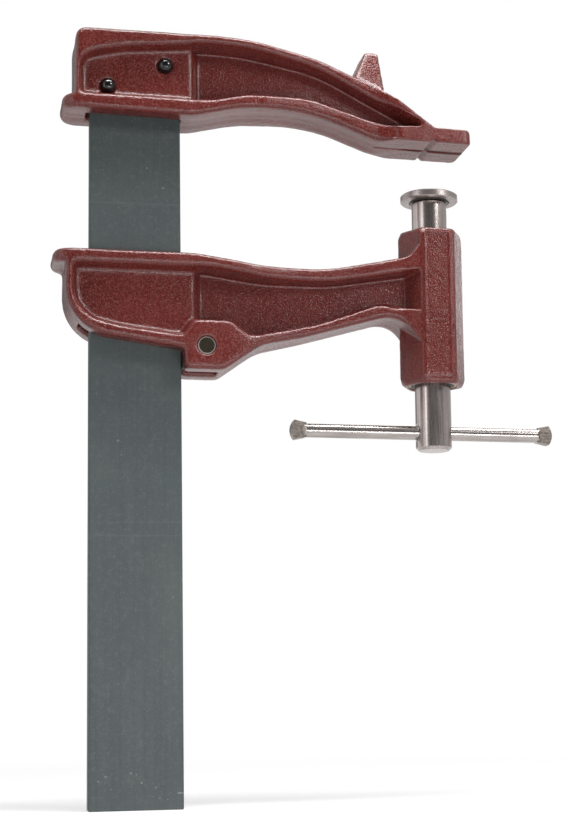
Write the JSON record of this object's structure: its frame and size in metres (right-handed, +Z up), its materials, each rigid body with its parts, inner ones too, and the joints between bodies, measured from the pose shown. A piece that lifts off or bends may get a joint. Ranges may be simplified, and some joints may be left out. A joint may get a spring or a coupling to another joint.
{
  "type": "bar clamp",
  "caption": "Heavy bar clamp: cast fixed jaw on a flat steel bar, sliding arm with an enclosed screw, swivel disc and T handle.",
  "frame": {"origin": "where the long groove and the V-groove cross on the fixed jaw's pad, above the screw", "axes": "+Z up along the bar towards the fixed jaw, +X from the bar towards the screw, -Y towards the viewer"},
  "size_m": [0.2811, 0.0364, 0.422],
  "materials": {
    "paint_red": "dark red stove enamel on rough castings",
    "steel_bar": "drawn flat bar with its dark grey-green mill skin, dull",
    "steel_screw": "turned and ground, bright",
    "steel_plated": "zinc plated, slightly dull",
    "steel_black": "black oxide under a coat of clear lacquer",
    "bronze": "plain bearing bronze",
    "seal": "black sealing rubber"
  },
  "bodies": {
    "rail": {"rail_bar": "steel_bar", "fixed_jaw": "paint_red", "jaw_rivets": "steel_black"},
    "shoe": {"lock_shoe": "steel_black"},
    "arm": {"sliding_arm": "paint_red", "lock_pin": "steel_black", "upper_bush": "bronze", "lower_bush": "bronze", "upper_wiper": "seal", "lower_wiper": "seal"},
    "washer": {"swivel_washer": "steel_black"},
    "disc": {"pressure_disc": "steel_plated"},
    "screw": {"screw_spindle": "steel_screw"},
    "handle": {"tommy_bar": "steel_plated"}
  },
  "joints": [
    {"name": "arm_travel", "type": "slide", "parent": "rail", "child": "shoe", "axis": [0, 0, 1], "range_m": [-0.225, 0.004]},
    {"name": "arm_release", "type": "hinge", "parent": "shoe", "child": "arm", "pos_m": [-0.1306, 0, -0.12069], "axis": [0, -1, 0], "range_deg": [0, 2]},
    {"name": "screw_travel", "type": "slide", "parent": "arm", "child": "washer", "axis": [0.0105, 0, 0.9999], "range_m": [-0.015, 0.016]},
    {"name": "disc_rock", "type": "hinge", "parent": "washer", "child": "disc", "pos_m": [0.00096, 0, -0.03011], "axis": [0, 1, 0], "range_deg": [-2.5, 2.5]},
    {"name": "screw_turn", "type": "hinge", "parent": "washer", "child": "screw", "pos_m": [0.00026, 0, -0.09686], "axis": [0.0105, 0, 0.9999], "range_deg": [-1350, 1440]},
    {"name": "handle_slide", "type": "slide", "parent": "screw", "child": "handle", "axis": [0.9999, 0, -0.0105], "range_m": [-0.048, 0.061]}
  ],
  "couplings": [
    {"joint": "screw_travel", "follows": "screw_turn", "m_per_rad": 0.00063662}
  ]
}
